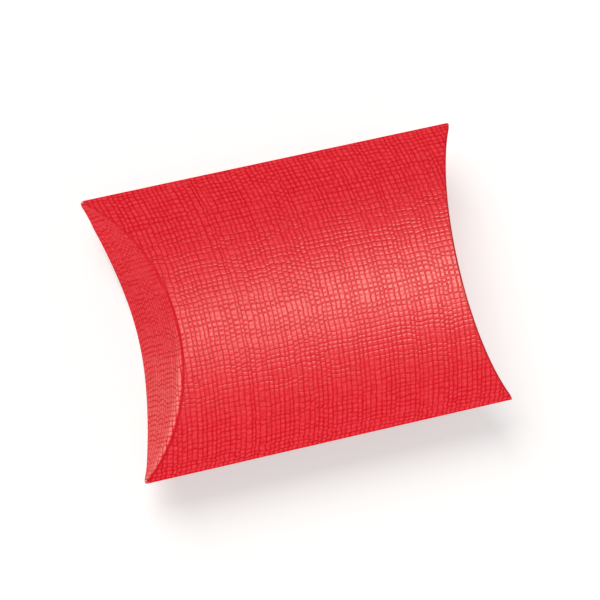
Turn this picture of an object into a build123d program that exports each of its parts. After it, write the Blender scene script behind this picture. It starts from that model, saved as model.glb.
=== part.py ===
from build123d import *
import math
import os

# A pillow box: one die-cut sheet of linen-embossed board, creased on curved lines,
# folded into a cushion shape and glued along one long side.
# It lies on the crown of its back panel: X along the length, Y across the width, Z up through the depth.
# The origin is on the floor under the middle of the box.

# Overall sizes over the outside of the board
box_length = 100.0
box_width = 70.0
box_depth = 25.6

# Board, folds and creases
board_thickness = 0.4
seam_fold_radius = 0.2
crease_radius = 0.7

# End flaps
# The outer flap covers the whole end; the inner one reaches the middle of the depth, so both swing clear.
flap_nest_step = 0.75
hinge_clearance = 0.12
crease_clearance = 0.03
outer_free_edge_gap = 0.3
inner_free_edge_gap = 0.6
flap_tip_half_depth = 1.7
flap_tip_radius = 1.4
crease_tip_half_depth = 0.95

# Glued seam
glue_flap_width = 12.0
glue_flap_end_relief = 1.6
glue_flap_end_taper = 9.4
glue_gap = 0.2
glue_line_width = 7.0
glue_line_side_margin = 2.0
glue_line_end_margin = 9.0
glue_skin_clearance = 0.07

# How finely the bulge is worked out
station_spans = 24
width_steps = 336
solver_rounds = 60

crown = box_depth / 2
half_length = box_length / 2
lap_depth = board_thickness + glue_gap
cutter_reach = box_length


# The bulge of a panel that is bent by a circular crease.
# A crease struck as a circle in the flat sheet folds into one plane at 45 degrees.
# Its slope in the flat is then the sine of the panel's tilt, so the sheet keeps its length all along.
def arc_radius(half_chord, rise):
    return (half_chord**2 + rise**2) / (2 * rise)


def tilt_sine(u, radius):
    return u / math.sqrt(radius**2 - u**2)


def tilt_cosine(u, radius):
    return math.sqrt(1 - tilt_sine(u, radius) ** 2)


def span(u_end, radius):
    step = u_end / width_steps
    middles = [(i + 1 / 2) * step for i in range(width_steps)]
    return sum(tilt_cosine(u, radius) * step for u in middles)


# The steeper a panel stands at its side folds, the narrower the box, so halving finds the tilt for the given width.
# Both side folds start at the same height, and the plain one is the rounder: at the seam the glue flap dives
# under the back panel, so that fold is tighter and lies a little further in.
flattest, steepest = 0, 1
for _ in range(solver_rounds):
    end_sine = (flattest + steepest) / 2
    end_cosine = math.sqrt(1 - end_sine**2)
    side_fold_radius = seam_fold_radius + lap_depth / (2 * end_cosine**2)
    rise = crown - side_fold_radius * end_cosine
    half_chord = rise * (1 + math.sqrt(1 + end_sine**2)) / end_sine
    crease_arc_radius = arc_radius(half_chord, rise)
    seam_set_in = lap_depth / (1 + end_sine) / 2
    half_width = (box_width + seam_set_in) / 2
    panel_half_width = half_width - side_fold_radius * (1 - end_sine)
    if span(half_chord, crease_arc_radius) > panel_half_width:
        flattest = end_sine
    else:
        steepest = end_sine
panel_edge_height = crown - rise


# Each station holds the place across the width, the height over the mid-plane and the outward normal.
class Station:
    def __init__(self, share):
        u = half_chord * abs(share)
        side = math.copysign(1, share)
        self.across = side * span(u, crease_arc_radius) if share else 0.0
        drop = crease_arc_radius - math.sqrt(crease_arc_radius**2 - u**2)
        self.height = crown - drop
        self.normal_across = side * tilt_sine(u, crease_arc_radius)
        self.normal_up = tilt_cosine(u, crease_arc_radius)


def stations_between(low_u, high_u):
    step_u = (high_u - low_u) / station_spans
    return [Station((low_u + i * step_u) / half_chord) for i in range(station_spans + 1)]


def stations_down_to(height):
    drop = crown - height
    u = math.sqrt(crease_arc_radius**2 - (crease_arc_radius - drop) ** 2)
    return stations_between(-u, u)


stations = stations_between(-half_chord, half_chord)


# The curves run at unit speed, because their points lie nearly evenly along them.
unit_speed = [1, 1]


# A panel's section lies in the YZ plane; depth_in measures from its outer face inwards.
def panel_curve(depth_in, chosen=stations):
    points = []
    for s in chosen:
        y = s.across - depth_in * s.normal_across
        z = s.height - depth_in * s.normal_up
        points.append((0, y, z))
    first, last = chosen[0], chosen[-1]
    start_way = (0, first.normal_up, -first.normal_across)
    end_way = (0, last.normal_up, -last.normal_across)
    return Spline(*points, tangents=[start_way, end_way], tangent_scalars=unit_speed)


# A flap's section lies in the XY plane; its rulings run along Z.
def flap_curve(face_x, depth_in):
    points = []
    for s in stations:
        x = face_x - s.height - depth_in * s.normal_up
        y = s.across + depth_in * s.normal_across
        points.append((x, y, 0))
    first, last = stations[0], stations[-1]
    start_way = (first.normal_across, first.normal_up, 0)
    end_way = (last.normal_across, last.normal_up, 0)
    return Spline(*points, tangents=[start_way, end_way], tangent_scalars=unit_speed)


def closed_face(*edges):
    return Face(Wire(list(edges)))


def joined(curve_a, curve_b):
    return [
        curve_a,
        Line(curve_a @ 1, curve_b @ 1),
        curve_b,
        Line(curve_b @ 0, curve_a @ 0),
    ]


def along_x(face):
    return extrude(face, amount=cutter_reach, dir=(1, 0, 0), both=True)


def along_z(face):
    return extrude(face, amount=cutter_reach, dir=(0, 0, 1), both=True)


# Where the panels and flaps end, measured where the outer face of each would meet the mid-plane
front_end_x = half_length + panel_edge_height
back_end_x = front_end_x - flap_nest_step
outer_flap_face_x = front_end_x + crease_radius
inner_flap_face_x = back_end_x + crease_radius
crease_stations = stations_down_to(crease_tip_half_depth)
flap_stations = stations_down_to(flap_tip_half_depth)


# Everything within the curved end lines of a panel, seen from above
def plan_between_ends(end_x):
    right = flap_curve(end_x, 0)
    left = right.mirror(Plane.YZ)
    return along_z(closed_face(*joined(right, left)))


panel_section = along_x(closed_face(*joined(panel_curve(0), panel_curve(board_thickness))))
front_panel = panel_section & plan_between_ends(front_end_x)
back_panel = panel_section.mirror(Plane.XY) & plan_between_ends(back_end_x)

# The fold along the free long side, at +Y
fold_centre_y = half_width - side_fold_radius
fold_inner_radius = side_fold_radius - board_thickness
fold_half_angle = math.degrees(math.acos(end_sine))
fold_plane = Plane(origin=(0, fold_centre_y, 0), x_dir=(0, 1, 0), z_dir=(1, 0, 0))
outer_arc = fold_plane.from_local_coords(
    CenterArc((0, 0), side_fold_radius, -fold_half_angle, 2 * fold_half_angle)
)
inner_arc = fold_plane.from_local_coords(
    CenterArc((0, 0), fold_inner_radius, -fold_half_angle, 2 * fold_half_angle)
)
side_fold = extrude(
    closed_face(*joined(outer_arc, inner_arc)), amount=half_length, dir=(1, 0, 0), both=True
)


# The glue flap folds off the front panel at -Y and lies inside the back panel.
# Its section is drawn at +Y, with the back panel's bulge turned up, and then turned over.
def crossing(point_a, way_a, point_b, way_b):
    det = way_a[0] * way_b[1] - way_a[1] * way_b[0]
    dy = point_b[0] - point_a[0]
    dz = point_b[1] - point_a[1]
    reach = (dy * way_b[1] - dz * way_b[0]) / det
    return (point_a[0] + reach * way_a[0], point_a[1] + reach * way_a[1])


edge = stations[-1]
lap_inner_depth = lap_depth + board_thickness
lap_free_u = half_chord - glue_flap_width
lap_stations = stations_between(lap_free_u, half_chord)


def under_edge(depth_in):
    return (
        edge.across - depth_in * edge.normal_across,
        edge.height - depth_in * edge.normal_up,
    )


def over_edge(depth_in):
    y, z = under_edge(depth_in)
    return (y, -z)


back_way = (edge.normal_up, -edge.normal_across)
front_way = (edge.normal_up, edge.normal_across)
outer_corner = crossing(under_edge(lap_depth), back_way, over_edge(0), front_way)
inner_corner = crossing(
    under_edge(lap_inner_depth), back_way, over_edge(board_thickness), front_way
)
bend_length = math.dist(outer_corner, over_edge(0))
bend_end = (
    outer_corner[0] - bend_length * back_way[0],
    outer_corner[1] - bend_length * back_way[1],
)


def in_section(point):
    return (0, point[0], point[1])


lap_outer = panel_curve(lap_depth, lap_stations)
lap_inner = panel_curve(lap_inner_depth, lap_stations)
bend = TangentArc(
    in_section(over_edge(0)), in_section(bend_end), tangent=(0, front_way[0], front_way[1])
)
lap_section = closed_face(
    Line(lap_inner @ 0, lap_outer @ 0),
    lap_outer,
    Line(lap_outer @ 1, in_section(bend_end)),
    bend,
    Line(in_section(over_edge(0)), in_section(over_edge(board_thickness))),
    Line(in_section(over_edge(board_thickness)), in_section(inner_corner)),
    Line(in_section(inner_corner), lap_inner @ 1),
    lap_inner,
)
lap_half_length = half_length - glue_flap_end_relief
lap_free_half_length = lap_half_length - glue_flap_end_taper
lap_free_y = lap_stations[0].across - board_thickness
lap_shoulder_y = crease_stations[-1].across + hinge_clearance
lap_corners = [
    (half_length, half_width),
    (half_length, lap_shoulder_y),
    (lap_half_length, lap_shoulder_y),
    (lap_free_half_length, lap_free_y),
]
lap_far_corners = [(-x, y) for x, y in reversed(lap_corners)]
lap_plan = make_face(Polyline(*lap_corners, *lap_far_corners, close=True))
glue_flap = along_x(lap_section) & along_z(lap_plan)

# The line of glue between the lap and the back panel
glue_outer_depth = board_thickness + glue_skin_clearance
glue_inner_depth = lap_depth - glue_skin_clearance
glue_start_u = lap_free_u + glue_line_side_margin
glue_stations = stations_between(glue_start_u, glue_start_u + glue_line_width)
glue_section = closed_face(
    *joined(
        panel_curve(glue_outer_depth, glue_stations),
        panel_curve(glue_inner_depth, glue_stations),
    )
)
glue_half_length = half_length - glue_line_end_margin
glue_line = extrude(glue_section, amount=glue_half_length, dir=(1, 0, 0), both=True)


def turned_over(solid):
    return solid.rotate(Axis.X, 180)


glue_flap = turned_over(glue_flap)
glue_line = turned_over(glue_line)


# A curved crease: a quarter bend of the board, lofted through its upright section at each station.
# Its arms are as thick as the panel and the flap that they meet, measured in that section.
def crease_section(end_x, station):
    corner_x = end_x - station.height + crease_clearance
    corner_z = station.height - crease_radius
    arm = board_thickness / station.normal_up
    reach = crease_radius - crease_clearance
    middle_reach = crease_radius / math.sqrt(2)

    def point(x, z):
        return (corner_x + x, station.across, corner_z + z)

    return Wire(
        [
            ThreePointArc(
                point(0, crease_radius),
                point(middle_reach - crease_clearance, middle_reach),
                point(reach, 0),
            ),
            Line(point(reach, 0), point(reach - arm, 0)),
            Line(point(reach - arm, 0), point(reach - arm, crease_radius - arm)),
            Line(point(reach - arm, crease_radius - arm), point(0, crease_radius - arm)),
            Line(point(0, crease_radius - arm), point(0, crease_radius)),
        ]
    )


def crease_at_right(end_x):
    return Solid.make_loft([crease_section(end_x, s) for s in crease_stations])


outer_crease = crease_at_right(front_end_x)
inner_crease = crease_at_right(back_end_x)


# The flaps: an upright bent wall, cut to the outline that shows from the end of the box
def flap_wall(face_x):
    return along_z(
        closed_face(*joined(flap_curve(face_x, 0), flap_curve(face_x, board_thickness)))
    )


hinge_drop = crease_radius + hinge_clearance
hinge_points = [(s.across, s.height - hinge_drop) for s in flap_stations]
outer_free_points = [(s.across, outer_free_edge_gap - s.height) for s in flap_stations]
inner_free_points = [(s.across, inner_free_edge_gap) for s in flap_stations]


def flap_outline(free_points):
    hinge_line = Spline(*[in_section(p) for p in hinge_points])
    free_line = Spline(*[in_section(p) for p in free_points])
    return closed_face(*joined(hinge_line, free_line))


outer_outline = flap_outline(outer_free_points)
inner_outline = flap_outline(inner_free_points)
outer_corners = outer_outline.vertices().group_by(Axis.Z)[0]
outer_outline = outer_outline.fillet_2d(flap_tip_radius, outer_corners)
outer_flap = flap_wall(outer_flap_face_x) & along_x(outer_outline)
inner_flap = flap_wall(inner_flap_face_x) & along_x(inner_outline)

# The whole box is lifted so that the back panel's crown is on the floor, and set midway between its two folds
lift = Pos(0, -seam_set_in / 2, crown)


def at_left(solid):
    return solid.mirror(Plane.YZ)


def at_back(solid):
    return solid.mirror(Plane.XY)


nodes = {
    "front_panel": front_panel,
    "back_panel": back_panel,
    "side_fold": side_fold,
    "glue_flap": glue_flap,
    "glue_line": glue_line,
    "right_outer_crease": outer_crease,
    "right_outer_flap": outer_flap,
    "right_inner_crease": at_back(inner_crease),
    "right_inner_flap": at_back(inner_flap),
    "left_outer_crease": at_left(outer_crease),
    "left_outer_flap": at_left(outer_flap),
    "left_inner_crease": at_left(at_back(inner_crease)),
    "left_inner_flap": at_left(at_back(inner_flap)),
}

os.makedirs("parts", exist_ok=True)
for name, solid in nodes.items():
    export_step(lift * solid, f"parts/{name}.step")

print("crease arc radius in the flat", round(crease_arc_radius, 2))
print("flat half width of a panel", round(half_chord, 2))
print("tilt at the side folds", round(math.degrees(math.asin(end_sine)), 2))
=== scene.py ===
import math

import bmesh
import bpy
import numpy as np
from mathutils import Matrix, Vector


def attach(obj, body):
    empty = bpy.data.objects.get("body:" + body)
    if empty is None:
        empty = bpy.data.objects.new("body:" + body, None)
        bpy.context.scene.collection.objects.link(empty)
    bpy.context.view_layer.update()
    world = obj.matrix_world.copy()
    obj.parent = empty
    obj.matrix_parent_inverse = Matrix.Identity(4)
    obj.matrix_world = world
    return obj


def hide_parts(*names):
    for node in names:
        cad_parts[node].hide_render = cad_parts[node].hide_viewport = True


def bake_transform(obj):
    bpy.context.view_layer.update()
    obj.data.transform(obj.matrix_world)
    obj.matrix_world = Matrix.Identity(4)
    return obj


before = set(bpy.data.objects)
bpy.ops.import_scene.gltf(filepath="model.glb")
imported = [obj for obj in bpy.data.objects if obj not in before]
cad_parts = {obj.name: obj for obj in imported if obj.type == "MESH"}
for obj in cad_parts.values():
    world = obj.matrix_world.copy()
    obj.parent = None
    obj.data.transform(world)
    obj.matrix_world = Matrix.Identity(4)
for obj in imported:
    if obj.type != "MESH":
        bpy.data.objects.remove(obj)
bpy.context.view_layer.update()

# A pillow box of linen-embossed board, as five sheets of board that follow the sizes of the solids.
# Lengths are in metres. Only the flat layer and the materials count the unfolded sheet in millimetres.
mm = 0.001
box_length = 100 * mm
box_width = 70 * mm
box_depth = 25.6 * mm
board_thickness = 0.4 * mm
seam_fold_radius = 0.2 * mm
crease_radius = 0.7 * mm
crease_tip_half_depth = 0.95 * mm
crease_tip_share = 0.3
crease_growth_length = 1.6 * mm
flap_nest_step = 0.75 * mm
flap_tip_radius = 1.4 * mm
outer_free_edge_gap = 0.3 * mm
inner_free_edge_gap = 0.6 * mm
shortest_ruling = 0.15 * mm
glue_gap = 0.2 * mm
glue_flap_width = 12 * mm
glue_flap_shoulder = 0.12 * mm
glue_flap_end_relief = 1.6 * mm
glue_flap_end_taper = 9.4 * mm

crown = box_depth / 2
half_length = box_length / 2
lap_depth = board_thickness + glue_gap

# How finely the sheets are divided: stations across the wrap, along it, and over each end flap
glue_flap_stations = 24
glue_flap_fold_stations = 8
glue_flap_coarse_end = 1.2 * mm
glue_flap_fine_start = 1.1 * mm
seam_fold_stations = 9
panel_stations = 141
side_fold_stations = 15
length_stations = 101
flap_stations = 161
crease_stations = 13
ruling_stations = 31
width_table_points = 2001
slope_halvings = 50
merge_distance = 0.001 * mm
sharp_edge_angle = math.radians(50)


# The bulge of a panel: a crease struck as a circle in the flat folds into one plane at 45 degrees.
# u is the distance over the board from the panel's middle line. The tilt is the panel's slope there, and
# drop(u) is how far the panel lies below its crown.
def tilt_sine(u):
    return u / np.sqrt(crease_arc_radius**2 - u**2)


def tilt_cosine(u):
    return np.sqrt(1 - tilt_sine(u) ** 2)


def drop(u):
    return crease_arc_radius - np.sqrt(crease_arc_radius**2 - u**2)


# The slope at a panel's long edge is found by halving, so that panel and side fold make half the box width
flattest, steepest = 0.0, 1.0
for _ in range(slope_halvings):
    end_sine = (flattest + steepest) / 2
    end_cosine = math.sqrt(1 - end_sine**2)
    side_fold_radius = seam_fold_radius + lap_depth / (2 * end_cosine**2)
    rise = crown - side_fold_radius * end_cosine
    half_chord = rise * (1 + math.sqrt(1 + end_sine**2)) / end_sine
    crease_arc_radius = (half_chord**2 + rise**2) / (2 * rise)
    seam_set_in = lap_depth / (1 + end_sine) / 2
    half_width = (box_width + seam_set_in) / 2
    u_table = np.linspace(0, half_chord, width_table_points)
    cosines = tilt_cosine(u_table)
    steps = (cosines[1:] + cosines[:-1]) / 2 * np.diff(u_table)
    across_table = np.concatenate([[0], np.cumsum(steps)])
    if across_table[-1] > half_width - side_fold_radius * (1 - end_sine):
        flattest = end_sine
    else:
        steepest = end_sine
edge_height = crown - rise
fold_half_angle = math.acos(end_sine)
section_centre = np.array([0, -seam_set_in / 2, crown])

# Where the plane of each panel's end creases meets the middle of the box's depth
front_end_x = half_length + edge_height
back_end_x = front_end_x - flap_nest_step

# On the flat sheet the front panel's middle line is at 0, and the back panel's is here
back_middle_u = 2 * half_chord + 2 * fold_half_angle * side_fold_radius


# Where u lies across the box, once the panel is bulged
def across(u):
    return np.sign(u) * np.interp(np.abs(u), u_table, across_table)


# Where a panel comes down to this height above the middle of the box's depth
def u_at_height(height):
    return math.sqrt(crease_arc_radius**2 - (crease_arc_radius - crown + height) ** 2)


flap_tip_u = u_at_height(crease_tip_half_depth)

# The board is never quite even: slow, shallow swells over the flat sheet, and a slanted ripple between
# them. The lengths are those in which a wave turns by one radian.
swell_height = 0.05 * mm
swell_length_x = 17 * mm
swell_length_u = 14 * mm
swell_phase_x = 0.6
swell_phase_u = 1.1
ripple_height = 0.02 * mm
ripple_length_x = 7.3 * mm
ripple_length_u = 11 * mm
ripple_phase = 2.0


def unevenness(x, u):
    swells = np.sin(x / swell_length_x + swell_phase_x) * np.sin(u / swell_length_u + swell_phase_u)
    ripple = np.sin(x / ripple_length_x - u / ripple_length_u + ripple_phase)
    return swell_height * swells + ripple_height * ripple


# The order of the materials on every sheet, and the layer that holds a point's place on the unfolded sheet
printed_side, reverse_side, cut_side = range(3)
flat_layer = "flat"


# One sheet of board as a closed mesh from grids of points: the printed face, the reverse, and the cut edges
# between them
def sheet_mesh(name, face, reverse, flat):
    rows, columns = face.shape[:2]
    count = rows * columns
    index = np.arange(count).reshape(rows, columns)
    a, b = index[:-1, :-1].ravel(), index[1:, :-1].ravel()
    c, d = index[1:, 1:].ravel(), index[:-1, 1:].ravel()
    quads = np.stack([a, b, c, d], 1).tolist()
    quads += np.stack([a + count, d + count, c + count, b + count], 1).tolist()
    sides = [printed_side] * len(a) + [reverse_side] * len(a)
    for rim in (index[0], index[:, -1], index[-1, ::-1], index[::-1, 0]):
        quads += np.stack([rim[:-1], rim[1:], rim[1:] + count, rim[:-1] + count], 1).tolist()
        sides += [cut_side] * (len(rim) - 1)
    points = np.concatenate([face.reshape(-1, 3), reverse.reshape(-1, 3)])
    mesh = bpy.data.meshes.new(name)
    mesh.from_pydata(points.tolist(), [], quads)
    mesh.polygons.foreach_set("material_index", sides)
    mesh.polygons.foreach_set("use_smooth", [True] * len(quads))
    lay_out_flat(mesh, flat)
    mesh.update()
    mesh.set_sharp_from_angle(angle=sharp_edge_angle)
    obj = bpy.data.objects.new(name, mesh)
    bpy.context.scene.collection.objects.link(obj)
    return obj


def lay_out_flat(mesh, flat):
    layer = mesh.uv_layers.new(name=flat_layer)
    corner_points = np.empty(len(mesh.loops), int)
    mesh.loops.foreach_get("vertex_index", corner_points)
    flat_points = np.concatenate([flat.reshape(-1, 2)] * 2) / mm
    layer.data.foreach_set("uv", flat_points[corner_points].ravel())


def grid_normals(points, roughly_outward):
    normals = np.cross(np.gradient(points, axis=0), np.gradient(points, axis=1))
    normals /= np.linalg.norm(normals, axis=2)[:, :, None]
    turned = np.sum(normals * roughly_outward, axis=2).mean() < 0
    return -normals if turned else normals


# The wrap: glue flap, seam fold, front panel, side fold and back panel, as one strip from edge to edge.
# Each station has a place in the section for both sides of the board, the printed side's normal, and the X
# at which the sheet ends.
class Strip:
    def __init__(self):
        self.face, self.reverse, self.normal, self.end_x = [], [], [], []

    def add(self, face, normal, end_x, reverse=None):
        face, normal = np.array(face), np.array(normal)
        if reverse is None:
            reverse = face - board_thickness * normal
        self.face.append(face)
        self.reverse.append(reverse)
        self.normal.append(normal)
        self.end_x.append(end_x)


# The glue flap lies inside the back panel, on the glue, and is shorter towards its free edge
def add_glue_flap(strip):
    free_u = half_chord - glue_flap_width
    free_y = float(across(free_u))
    shoulder_y = float(across(flap_tip_u)) + glue_flap_shoulder
    coarse_us = np.linspace(free_u, half_chord - glue_flap_coarse_end, glue_flap_stations)
    fine_us = np.linspace(half_chord - glue_flap_fine_start, half_chord, glue_flap_fold_stations)
    for u in np.concatenate([coarse_us, fine_us]):
        y = float(across(u))
        normal = np.array([-tilt_sine(u), -tilt_cosine(u)])
        place = np.array([-y, drop(u) - crown]) - lap_depth * normal
        tapered_by = glue_flap_end_taper * (shoulder_y - y) / (shoulder_y - free_y)
        end_x = half_length if y > shoulder_y else half_length - glue_flap_end_relief - tapered_by
        strip.add(place, normal, end_x)


# The seam fold turns about a centre just inside the front panel's edge. Its reverse is pinched to one line.
def add_seam_fold(strip):
    panel_edge = np.array([-float(across(half_chord)), edge_height])
    centre = panel_edge + seam_fold_radius * np.array([end_sine, -end_cosine])
    pinched = np.array([centre[0] + (board_thickness - seam_fold_radius) / end_sine, centre[1]])
    for turn in np.linspace(-fold_half_angle, fold_half_angle, seam_fold_stations):
        normal = np.array([-math.cos(turn), math.sin(turn)])
        strip.add(centre + seam_fold_radius * normal, normal, half_length, pinched)


def add_front_panel(strip):
    for u in np.linspace(-half_chord, half_chord, panel_stations):
        normal = [tilt_sine(u), tilt_cosine(u)]
        strip.add([across(u), crown - drop(u)], normal, front_end_x - crown + drop(u))


# The side fold's first and last stations are the panels' own. The back panel is the shorter one.
def add_side_fold(strip):
    centre = np.array([half_width - side_fold_radius, 0])
    for turn in np.linspace(fold_half_angle, -fold_half_angle, side_fold_stations)[1:-1]:
        normal = np.array([math.cos(turn), math.sin(turn)])
        share = (1 - turn / fold_half_angle) / 2
        strip.add(centre + side_fold_radius * normal, normal, half_length - share * flap_nest_step)


def add_back_panel(strip):
    for u in np.linspace(half_chord, -half_chord, panel_stations):
        normal = [tilt_sine(u), -tilt_cosine(u)]
        strip.add([across(u), drop(u) - crown], normal, back_end_x - crown + drop(u))


# The folds are stiff, so the unevenness fades where the board stands on edge
stiff_fold_factor = 3


def wrap_sheet():
    strip = Strip()
    add_glue_flap(strip)
    seam_start = len(strip.face)
    add_seam_fold(strip)
    front_start = len(strip.face)
    add_front_panel(strip)
    add_side_fold(strip)
    add_back_panel(strip)
    face, reverse, normal = np.array(strip.face), np.array(strip.reverse), np.array(strip.normal)

    flat_u = np.concatenate([[0], np.cumsum(np.linalg.norm(np.diff(face, axis=0), axis=1))])
    flat_u -= flat_u[front_start] + half_chord
    shares = np.linspace(-1, 1, length_stations)
    x = np.array(strip.end_x)[:, None] * shares[None, :]
    u = np.repeat(flat_u[:, None], length_stations, axis=1)

    raised = unevenness(x, u) * np.minimum(1, normal[:, 1:] ** 2 * stiff_fold_factor)
    raised = np.minimum(raised, face[:, 1:] + crown)  # not into the floor that the box rests on
    reverse_raised = raised.copy()
    reverse_raised[seam_start:front_start] = 0

    def points(section, raised_by):
        y = section[:, :1] + raised_by * normal[:, :1]
        z = section[:, 1:] + raised_by * normal[:, 1:]
        return (np.stack([x, y, z], 2) + section_centre)[::-1]

    flat = np.stack([x, u], 2)[::-1]
    sheet = sheet_mesh("wrap_sheet", points(face, raised), points(reverse, reverse_raised), flat)
    merge_pinched(sheet.data)
    return sheet


# The seam fold's stations share one line on the reverse, where their points become one
def merge_pinched(mesh):
    merged = bmesh.new()
    merged.from_mesh(mesh)
    bmesh.ops.remove_doubles(merged, verts=merged.verts, dist=merge_distance)
    merged.to_mesh(mesh)
    merged.free()


# The left outer flap has sprung a little: out towards both tips, most at the upper one, and in at the
# middle. The slant is one part out in so many across.
spring_outward = 0.15 * mm
spring_slant = 130
spring_wave_height = 0.4 * mm
spring_wave_length = 52 * mm
spring_fade_length = 9 * mm


def sprung_out(us):
    reach = np.minimum(1, (half_chord - np.abs(us)) / spring_fade_length)
    wave = spring_wave_height * np.cos(2 * math.pi * us / spring_wave_length)
    return reach * (spring_outward + us / spring_slant - wave)


# Its fold is rounder in the lower half, where the board has taken the crease less sharply
extra_rounding = 0.7 * mm
rounding_start = 2 * mm
rounding_growth_length = 12 * mm
rounding_fade_length = 9 * mm


def rounded_by(us):
    growing = np.clip((-us - rounding_start) / rounding_growth_length, 0, 1)
    lower = growing * np.clip((half_chord + us) / rounding_fade_length, 0, 1)
    return extra_rounding * lower * lower * (3 - 2 * lower)


# A crease is sharper at its tips, where it has only a share of its radius
def crease_radii(from_tip, rounding):
    return crease_radius * np.minimum(1, crease_tip_share + from_tip / crease_growth_length) + rounding


# How far each ruling of a flap runs from the crease to the free edge, whose two tips are rounded
def ruling_reaches(heights, free_edge_heights, from_tip, radii):
    full_reach = heights - crease_radius - free_edge_heights
    missing = np.clip(flap_tip_radius - from_tip, 0, flap_tip_radius)
    tip_cut = flap_tip_radius - np.sqrt(flap_tip_radius**2 - missing**2)
    return np.maximum(full_reach - tip_cut, shortest_ruling) + crease_radius - radii


# The spring grows towards a flap's free edge, with this power of the share of the way
spring_growth_power = 1.5


# The printed face goes round the crease and then down the flap's rulings. Each row has its X and Z from tip
# to tip, and how far along the sheet it lies from the crease's start.
def flap_rows(start_x, heights, radii, reaches, spring):
    x, z, along = [], [], []
    for turn in np.linspace(0, math.pi / 2, crease_stations):
        x.append(start_x + radii * math.sin(turn))
        z.append(heights - radii + radii * math.cos(turn))
        along.append(radii * turn)
    for ruling in np.linspace(0, 1, ruling_stations)[1:]:
        leaning = (crease_radius - radii) * ruling + spring * ruling**spring_growth_power
        x.append(start_x + radii + leaning)
        z.append(heights - radii - ruling * reaches)
        along.append(radii * math.pi / 2 + ruling * reaches)
    return np.array(x), np.array(z), np.array(along)


# How far below the crown the height begins to decide where a pushed-open point goes, and over what drop
by_height_start = 1.5 * mm
by_height_growth = 3 * mm


# Pushed open, the crease flattens and the flap lies in line with the bulge. This is the share of the
# joint's quarter turn that takes each point there, the reverse one board thickness deeper than the printed
# face. In the middle the angle about the hinge line decides, towards the tips the height does. The first
# row doesn't turn.
def shares_to_open(points, depth, end_x, drops, along):
    u = np.sign(points[:, :, 1]) * np.interp(np.abs(points[:, :, 1]), across_table, u_table)
    from_hinge_x = points[:, :, 0] - end_x + crown
    from_hinge_z = points[:, :, 2] - crown + crease_radius
    open_z = crease_radius - drop(u) - depth / tilt_cosine(u)
    by_angle = np.arctan2(open_z, drops + along)
    by_height = np.arcsin(np.clip(open_z / np.hypot(from_hinge_x, from_hinge_z), -1, 1))
    towards_tips = np.clip((drops - by_height_start) / by_height_growth, 0, 1)
    opened = by_angle + towards_tips * (by_height - by_angle)
    shares = np.clip((opened - np.arctan2(from_hinge_z, from_hinge_x)) / (math.pi / 2), 0, 1)
    shares[0] = 0
    return shares


# An end flap with its crease. It is worked out at the right end of the front panel and mirrored from there:
# side is 1 for the right end and -1 for the left, and an inner flap hangs on the back panel.
def flap_sheet(name, side, is_outer, is_sprung=False):
    end_x = front_end_x if is_outer else back_end_x
    us = np.linspace(-flap_tip_u, flap_tip_u, flap_stations)
    from_tip = flap_tip_u - np.abs(us)
    drops = drop(us)
    heights = crown - drops
    free_edge_heights = outer_free_edge_gap - heights if is_outer else inner_free_edge_gap
    spring, rounding = (sprung_out(us), rounded_by(us)) if is_sprung else (0, 0)
    radii = crease_radii(from_tip, rounding)
    reaches = ruling_reaches(heights, free_edge_heights, from_tip, radii)
    x, z, along = flap_rows(end_x - heights, heights, radii, reaches, spring)
    y = np.repeat(across(us)[None, :], len(x), axis=0)

    flat_x = side * (end_x - heights + along)
    flat_y = np.repeat((us if is_outer else back_middle_u - us)[None, :], len(x), axis=0)
    points = np.stack([x, y, z], 2)
    normals = grid_normals(points, roughly_outward=np.array([1, 0, 0.5]))
    points += normals * unevenness(flat_x, flat_y)[:, :, None]
    if not is_outer:
        points[:, :, 2] = np.minimum(points[:, :, 2], crown)  # mirrored, the crown rests on the floor
    reverse_points = points - board_thickness * normals
    face_shares = shares_to_open(points, 0, end_x, drops, along)
    reverse_shares = shares_to_open(reverse_points, board_thickness, end_x, drops, along)

    mirror = np.array([side, 1, 1 if is_outer else -1])
    face = points * mirror + section_centre
    reverse = reverse_points * mirror + section_centre
    grids = [face, reverse, np.stack([flat_x, flat_y], 2), face_shares, reverse_shares]
    if mirror.prod() < 0:
        grids = [grid[:, ::-1] for grid in grids]
    obj = sheet_mesh(name, *grids[:3])
    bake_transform(obj)
    return obj


wrap = wrap_sheet()
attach(wrap, "box")
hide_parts("front_panel", "back_panel", "side_fold", "glue_flap")
pieces = [wrap]
for side, side_name in ((1, "right"), (-1, "left")):
    sprung = side < 0
    outer = flap_sheet(f"{side_name}_outer_flap_sheet", side, True, sprung)
    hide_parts(f"{side_name}_outer_flap", f"{side_name}_outer_crease")
    inner = flap_sheet(f"{side_name}_inner_flap_sheet", side, False)
    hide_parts(f"{side_name}_inner_flap", f"{side_name}_inner_crease")
    pieces += [outer, inner]


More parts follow.
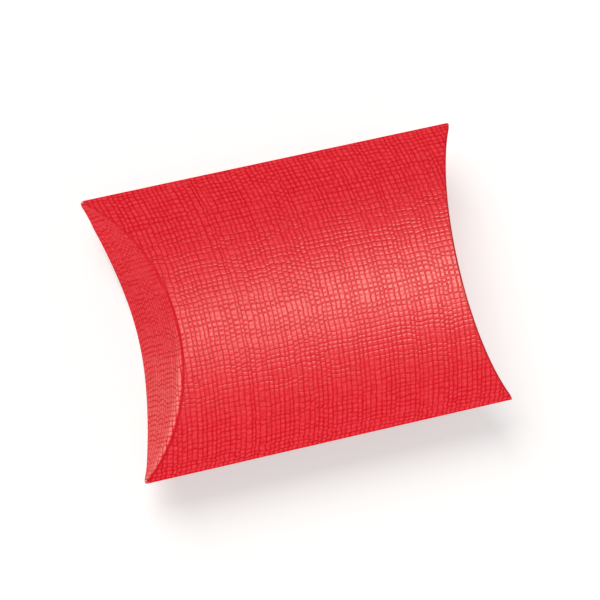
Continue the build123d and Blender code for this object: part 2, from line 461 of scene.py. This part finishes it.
# Short calls for the nodes of a material or of the world
class Nodes:
    def __init__(self, tree):
        self.tree = tree

    def node(self, kind, inputs=None, **settings):
        made = self.tree.nodes.new(kind)
        for key, value in settings.items():
            setattr(made, key, value)
        for socket, value in (inputs or {}).items():
            self.feed(made.inputs[socket], value)
        return made

    def feed(self, socket, value):
        if isinstance(value, bpy.types.NodeSocket):
            self.tree.links.new(value, socket)
        else:
            socket.default_value = value

    def math(self, operation, *values):
        return self.node("ShaderNodeMath", dict(enumerate(values)), operation=operation).outputs[0]

    # to_low where the value is low or less, smoothly rising or falling to to_high where it is high or more
    def ramp(self, value, low, high, to_low=0.0, to_high=1.0):
        inputs = {"Value": value, "From Min": low, "From Max": high, "To Min": to_low, "To Max": to_high}
        return self.node("ShaderNodeMapRange", inputs, interpolation_type="SMOOTHSTEP").outputs[0]

    # 1 where the value is within core of the middle, fading to 0 where it is reach away from it
    def band(self, value, middle, core, reach):
        off_middle = self.math("ABSOLUTE", self.math("SUBTRACT", value, middle))
        return self.ramp(off_middle, low=core, high=reach, to_low=1.0, to_high=0.0)

    def noise(self, vector, scale, detail=1.0, roughness=0.5):
        inputs = {"Vector": vector, "Scale": scale, "Detail": detail, "Roughness": roughness}
        return self.node("ShaderNodeTexNoise", inputs, noise_dimensions="2D").outputs[0]

    def vector(self, x, y):
        return self.node("ShaderNodeCombineXYZ", {0: x, 1: y}).outputs[0]

    def blend(self, share, first, second):
        return self.node("ShaderNodeMix", {0: share, 6: first, 7: second}, data_type="RGBA").outputs[2]

    # 1 for rays by which something is seen, straight, in a reflection or through glass, and 0 for light
    def seen(self):
        rays = self.node("ShaderNodeLightPath").outputs
        straight_or_mirrored = self.math("MAXIMUM", rays["Is Camera Ray"], rays["Is Glossy Ray"])
        return self.math("MAXIMUM", straight_or_mirrored, rays["Is Transmission Ray"])


class Shader(Nodes):
    def __init__(self, name):
        self.material = bpy.data.materials.new(name)
        self.material.use_nodes = True
        super().__init__(self.material.node_tree)
        self.surface = self.tree.nodes["Principled BSDF"]

    def set(self, socket_name, value):
        self.feed(self.surface.inputs[socket_name], value)

    def bump(self, height, distance, strength):
        inputs = {"Height": height, "Distance": distance, "Strength": strength}
        self.set("Normal", self.node("ShaderNodeBump", inputs).outputs[0])

    # The place on the unfolded sheet, in millimetres
    def flat_place(self):
        return self.node("ShaderNodeUVMap", uv_map=flat_layer).outputs[0]

    def coordinates(self, place):
        parts = self.node("ShaderNodeSeparateXYZ", {0: place})
        return parts.outputs[0], parts.outputs[1]


# One set of parallel grooves of the linen. The spacing is uneven, the lines wander and the depth comes and
# goes. They run along one coordinate of the unfolded sheet and are counted along the other, in millimetres.
class Grooves:
    # How fast drift and depth change, per millimetre: slowly along a groove, quicker from one to the next
    run_rate = 0.12
    drift_rate = 0.35
    depth_rate = 0.45
    millimetres_per_seed = 7

    def __init__(self, shader, counted, run, pitch, evenness, wander, seed):
        self.shader, self.pitch, self.evenness = shader, pitch, evenness
        slow = shader.math("MULTIPLY_ADD", run, self.run_rate, seed)
        drift_place = shader.vector(shader.math("MULTIPLY", counted, self.drift_rate), slow)
        drift = shader.noise(drift_place, scale=1.0, detail=4.0, roughness=0.62)
        shifted = shader.math("ADD", counted, self.millimetres_per_seed * seed)
        self.place = shader.math("MULTIPLY_ADD", drift, wander, shifted)
        depth_place = shader.vector(shader.math("MULTIPLY", counted, self.depth_rate), slow)
        self.depth_noise = shader.noise(depth_place, scale=1.0, detail=2.0)

    def cells(self, shift, **settings):
        place = self.shader.math("ADD", self.place, shift)
        in_pitches = self.shader.math("DIVIDE", place, self.pitch)
        inputs = {"W": in_pitches, "Scale": 1.0, "Randomness": 1 - self.evenness}
        return self.shader.node("ShaderNodeTexVoronoi", inputs, voronoi_dimensions="1D", **settings)

    # A random number that is the same all along the rib between two grooves
    def rib_number(self):
        colour = self.cells(0.0, feature="F1").outputs["Color"]
        return self.shader.node("ShaderNodeSeparateColor", {0: colour}).outputs[0]

    # 1 on a rib, 0 in the deepest groove
    def ribs(self, shift, groove_half_width, shallowest, deepest):
        distance = self.cells(shift, feature="DISTANCE_TO_EDGE").outputs["Distance"]
        groove_edge = groove_half_width / self.pitch
        groove = self.shader.ramp(distance, low=0.0, high=groove_edge, to_low=1.0, to_high=0.0)
        depth = self.shader.ramp(self.depth_noise, low=0.3, high=0.6, to_low=-shallowest, to_high=-deepest)
        return self.shader.math("MULTIPLY_ADD", groove, depth, 1.0)


# The pads that stand between both sets of grooves. The lengthwise grooves jump sideways from one crosswise
# rib to the next, more so in some patches than in others, and the crosswise ones do the same a little.
def linen(shader, place, x, y):
    crosswise = Grooves(shader, counted=x, run=y, pitch=1.32, evenness=0.3, wander=0.5, seed=3.7)
    lengthwise = Grooves(shader, counted=y, run=x, pitch=1.2, evenness=0.45, wander=0.5, seed=8.2)
    patches = shader.noise(place, scale=0.10)
    longest_jump = shader.ramp(patches, low=0.38, high=0.56, to_low=0.15, to_high=0.85)
    longest_step = 0.27
    jump = shader.math("MULTIPLY", crosswise.rib_number(), longest_jump)
    step = shader.math("MULTIPLY", lengthwise.rib_number(), longest_step)
    crosswise_ribs = crosswise.ribs(step, groove_half_width=0.36, shallowest=0.7, deepest=1.0)
    lengthwise_ribs = lengthwise.ribs(jump, groove_half_width=0.37, shallowest=0.3, deepest=0.9)
    return shader.math("MULTIPLY", crosswise_ribs, lengthwise_ribs)


# Where a point lies from its curved fold, in millimetres: how far beyond it, towards the flap, and how far
# from the middle of the box. Both folds of an end are circles in the flat.
def from_fold(shader, x, y):
    back_middle = back_middle_u / mm
    on_back = shader.math("GREATER_THAN", y, back_middle / 2)
    from_middle = shader.math("MULTIPLY_ADD", on_back, -back_middle, y)
    end_x = shader.math("MULTIPLY_ADD", on_back, (back_end_x - front_end_x) / mm, front_end_x / mm)
    centre_x = shader.math("ADD", end_x, (crease_arc_radius - crown) / mm)
    from_centre = shader.math("SUBTRACT", centre_x, shader.math("ABSOLUTE", x))
    square = shader.math("MULTIPLY", from_middle, from_middle)
    squares = shader.math("MULTIPLY_ADD", from_centre, from_centre, square)
    beyond = shader.math("SUBTRACT", crease_arc_radius / mm, shader.math("SQRT", squares))
    return beyond, from_middle


# The scored line, pressed flat in the relief and painted darker as shade of the crease: 1 on the line,
# fainter towards one corner
def score_press_and_shade(shader, beyond, from_middle):
    line = shader.band(beyond, middle=0.3, core=0.05, reach=0.3)
    fading = shader.ramp(from_middle, low=4.0, high=26.0, to_low=1.0, to_high=0.15)
    return shader.math("MULTIPLY", line, fading)


# Painted shade along the fold itself: 1 on its crown
def fold_shade_band(shader, beyond):
    return shader.band(beyond, middle=0.35, core=0.25, reach=0.65)


# The flap's pads are painted paler, a painted sheen: most along the fold, in one half
def painted_sheen_share(shader, place, beyond, from_middle):
    on_flap = shader.ramp(beyond, low=0.5, high=1.1)
    fading = shader.ramp(beyond, low=1.8, high=4.2, to_low=0.85, to_high=0.36)
    half = shader.ramp(from_middle, low=-16.0, high=6.0, to_low=1.0, to_high=0.0)
    blotches = shader.noise(place, scale=0.25, detail=2.0)
    patches = shader.ramp(blotches, low=0.25, high=0.7, to_low=0.7, to_high=1.0)
    near_fold = shader.math("MULTIPLY", on_flap, fading)
    in_half = shader.math("MULTIPLY", half, patches)
    return shader.math("MULTIPLY", near_fold, in_half)


# Red print over the embossed board: bright pads, deep grooves painted darker as shade, and along the curved
# folds a painted shade and, on the flaps, a painted sheen.
# Colours are linear, as red, green, blue and alpha.
def printed_face():
    dark_pad, light_pad = (0.84, 0.026, 0.039, 1), (0.93, 0.062, 0.074, 1)
    # The grooves' colour is darker than the pads': painted shade in the recesses of the relief
    groove, score_shade_colour = (0.70, 0.001, 0.012, 1), (0.52, 0.0005, 0.008, 1)
    # A pale pad colour painted on the flaps as a sheen, and a dark print colour painted as shade along the
    # folds
    sheen_pad_colour, fold_shade_colour = (0.97, 0.29, 0.24, 1), (0.56, 0.010, 0.020, 1)
    deepest_fold_shade = 0.6
    pads_pressed_and_shaded_by_score = 0.8
    grain_relief = 0.10
    relief_height = 0.07 * mm

    shader = Shader("embossed_red_face")
    place = shader.flat_place()
    x, y = shader.coordinates(place)
    beyond, from_middle = from_fold(shader, x, y)
    score_press_and_shade_share = score_press_and_shade(shader, beyond, from_middle)
    painted_sheen = painted_sheen_share(shader, place, beyond, from_middle)
    left_by_score = shader.math("MULTIPLY_ADD", score_press_and_shade_share, -pads_pressed_and_shaded_by_score, 1.0)
    pads = shader.math("MULTIPLY", linen(shader, place, x, y), left_by_score)
    grain = shader.noise(place, scale=9.0, detail=3.0, roughness=0.7)
    tones = shader.noise(place, scale=0.7, detail=4.0, roughness=0.75)

    pad_colour = shader.blend(shader.ramp(tones, low=0.3, high=0.7), dark_pad, light_pad)
    # Painted sheen: the flap's pads paler along the fold
    pad_colour = shader.blend(painted_sheen, pad_colour, sheen_pad_colour)
    # Painted shade: along the scored line the grooves' colour is darker still, and the pads give way to it
    shaded_groove_colour = shader.blend(score_press_and_shade_share, groove, score_shade_colour)
    # Painted shade: where the relief is low the colour goes to the darker groove colour
    colour = shader.blend(pads, shaded_groove_colour, pad_colour)
    # Painted shade: the print darker along the fold's crown
    fold_shade = shader.math("MULTIPLY", fold_shade_band(shader, beyond), deepest_fold_shade)
    shader.set("Base Color", shader.blend(fold_shade, colour, fold_shade_colour))
    shader.set("Roughness", shader.ramp(pads, low=0.15, high=0.7, to_low=0.46, to_high=0.38))
    shader.set("Specular IOR Level", 0.025)
    shader.bump(shader.math("MULTIPLY_ADD", grain, grain_relief, pads), relief_height, strength=1.0)
    return shader.material


# Off-white board, with fibres that run lengthwise
def reverse_face():
    dark_board, light_board = (0.80, 0.78, 0.73, 1), (0.86, 0.845, 0.80, 1)
    fibre_stretch = 0.5
    fibre_height = 0.03 * mm

    shader = Shader("board_reverse")
    place = shader.flat_place()
    x, y = shader.coordinates(place)
    stretched_place = shader.vector(shader.math("MULTIPLY", x, fibre_stretch), y)
    fibres = shader.noise(stretched_place, scale=3.0, detail=4.0, roughness=0.65)
    specks = shader.noise(place, scale=0.8, detail=3.0)
    shader.set("Base Color", shader.blend(shader.ramp(specks, low=0.3, high=0.7), dark_board, light_board))
    shader.set("Roughness", shader.ramp(fibres, low=0.3, high=0.7, to_low=0.75, to_high=0.9))
    shader.bump(fibres, fibre_height, strength=0.6)
    return shader.material


# The cut edges, red from the print in places, with paler fibres between
def cut_edge():
    printed_fibre, bare_fibre = (0.62, 0.10, 0.10, 1), (0.74, 0.30, 0.28, 1)
    fibre_height = 0.04 * mm

    shader = Shader("board_cut_edge")
    fibres = shader.noise(shader.flat_place(), scale=6.0, detail=4.0, roughness=0.7)
    bareness = shader.ramp(fibres, low=0.35, high=0.65)
    shader.set("Base Color", shader.blend(bareness, printed_fibre, bare_fibre))
    shader.set("Roughness", 0.85)
    shader.bump(fibres, fibre_height, strength=0.7)
    return shader.material


# The glue keeps its solid, which has no flat layer, so its blotches lie in the object's own space
def dried_glue():
    dark_glue, light_glue = (0.78, 0.74, 0.62, 1), (0.86, 0.83, 0.74, 1)
    blotch_height = 0.03 * mm

    shader = Shader("dried_glue")
    place = shader.node("ShaderNodeTexCoord").outputs["Object"]
    blotches = shader.noise(place, scale=900.0, detail=2.0)
    shader.set("Base Color", shader.blend(blotches, dark_glue, light_glue))
    shader.set("Roughness", 0.3)
    shader.bump(blotches, blotch_height, strength=0.5)
    return shader.material


# In the order of printed_side, reverse_side and cut_side
board_materials = [printed_face(), reverse_face(), cut_edge()]
for piece in pieces:
    for material in board_materials:
        piece.data.materials.append(material)
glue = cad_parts["glue_line"]
glue.data.materials.clear()
glue.data.materials.append(dried_glue())

# Camera: a long lens, at the photograph's viewing angle. camera_turn is an axis times an angle in radians,
# and box_seen_at is where the camera has the middle of the box, in box widths.
box_middle = Vector((0, 0, crown))
camera_lens = 480
camera_sensor = 36
camera_reach = 20
camera_turn = Vector((-0.0636, 0.4183, 0.2195))
box_seen_at = Vector((-0.0055, -0.0052, -27.86))

camera_data = bpy.data.cameras.new("camera")
camera_data.sensor_width = camera_sensor
camera_data.lens = camera_lens
camera_data.clip_end = camera_reach
camera = bpy.data.objects.new("camera", camera_data)
bpy.context.scene.collection.objects.link(camera)
bpy.context.scene.camera = camera
from_camera = Matrix.Rotation(camera_turn.length, 3, camera_turn.normalized()).transposed()
camera_place = from_camera @ (-box_seen_at * box_width) + box_middle
camera.matrix_world = Matrix.Translation(camera_place) @ from_camera.to_4x4()

# Studio: for the box a soft key from the far left, a fill from the near side and a low lamp from the right,
# for the floor a key of its own, and two warm lamps that show only as a sheen on the board
lamp_distance = 0.5
warm_white = (1.0, 0.88, 0.74)


def add_lamp(data, strength, aim):
    data.energy = strength
    lamp = bpy.data.objects.new(data.name, data)
    lamp.rotation_mode = "QUATERNION"
    lamp.rotation_quaternion = aim.to_track_quat("Z", "Y")
    bpy.context.scene.collection.objects.link(lamp)
    return lamp


def sun_light(name, direction, spread, strength, glossy):
    data = bpy.data.lights.new(name, "SUN")
    data.angle = math.radians(spread)
    lamp = add_lamp(data, strength, Vector(direction).normalized())
    lamp.visible_glossy = glossy
    return lamp


def sheen_light(name, direction, size, strength):
    aim = Vector(direction).normalized()
    data = bpy.data.lights.new(name, "AREA")
    data.shape = "DISK"
    data.size = size
    data.color = warm_white
    lamp = add_lamp(data, strength, aim)
    lamp.location = aim * lamp_distance + box_middle
    lamp.visible_diffuse = False
    lamp.visible_camera = False


key = sun_light("key", (-0.56, 0.66, 0.51), spread=50, strength=2.45, glossy=True)
floor_key = sun_light("floor_key", (-0.44, 0.60, 0.67), spread=36, strength=2.0, glossy=False)
fill = sun_light("fill", (-0.20, -0.87, 0.45), spread=40, strength=2.15, glossy=False)
low = sun_light("low", (1.0, 0.0, 0.06), spread=16, strength=1.2, glossy=False)
sheen_light("sheen", (0.53, -0.03, 0.84), size=0.08, strength=32)
sheen_light("rim", (-0.96, 0.26, 0.13), size=0.1, strength=4)


# The camera sees a nearly white floor, which throws less light back on the box than it seems to
def pale_floor():
    lit_colour, seen_colour = (0.55, 0.55, 0.55, 1), (0.80, 0.78, 0.75, 1)
    seen_glow = 0.54

    shader = Shader("pale_floor")
    seen = shader.seen()
    shader.set("Base Color", shader.blend(seen, lit_colour, seen_colour))
    shader.set("Roughness", 1.0)
    shader.set("Specular IOR Level", 0.0)
    shader.set("Emission Color", (1, 1, 1, 1))
    shader.set("Emission Strength", shader.math("MULTIPLY", seen, seen_glow))
    return shader.material


floor_size = 6
bpy.ops.mesh.primitive_plane_add(size=floor_size, location=(0, 0, 0))
floor = bpy.context.object
floor.name = "floor"
floor.data.materials.append(pale_floor())

# With a key of its own the floor keeps one soft shadow, straight below the box as the photograph has it
for lamp, state in ((key, "EXCLUDE"), (fill, "EXCLUDE"), (low, "EXCLUDE"), (floor_key, "INCLUDE")):
    scope = bpy.data.collections.new(f"{lamp.name}_scope")
    scope.objects.link(floor)
    lamp.light_linking.receiver_collection = scope
    scope.collection_objects[0].light_linking.link_state = state

# The world is white where it is seen, and lights the box much less than that
world_light = 0.22
world = bpy.data.worlds.new("studio")
bpy.context.scene.world = world
world.use_nodes = True
world_nodes = Nodes(world.node_tree)
background = world.node_tree.nodes["Background"]
background.inputs["Color"].default_value = (1, 1, 1, 1)
world_strength = world_nodes.ramp(world_nodes.seen(), low=0.0, high=1.0, to_low=world_light, to_high=1.0)
world_nodes.feed(background.inputs["Strength"], world_strength)

bpy.context.scene.view_settings.view_transform = "Standard"
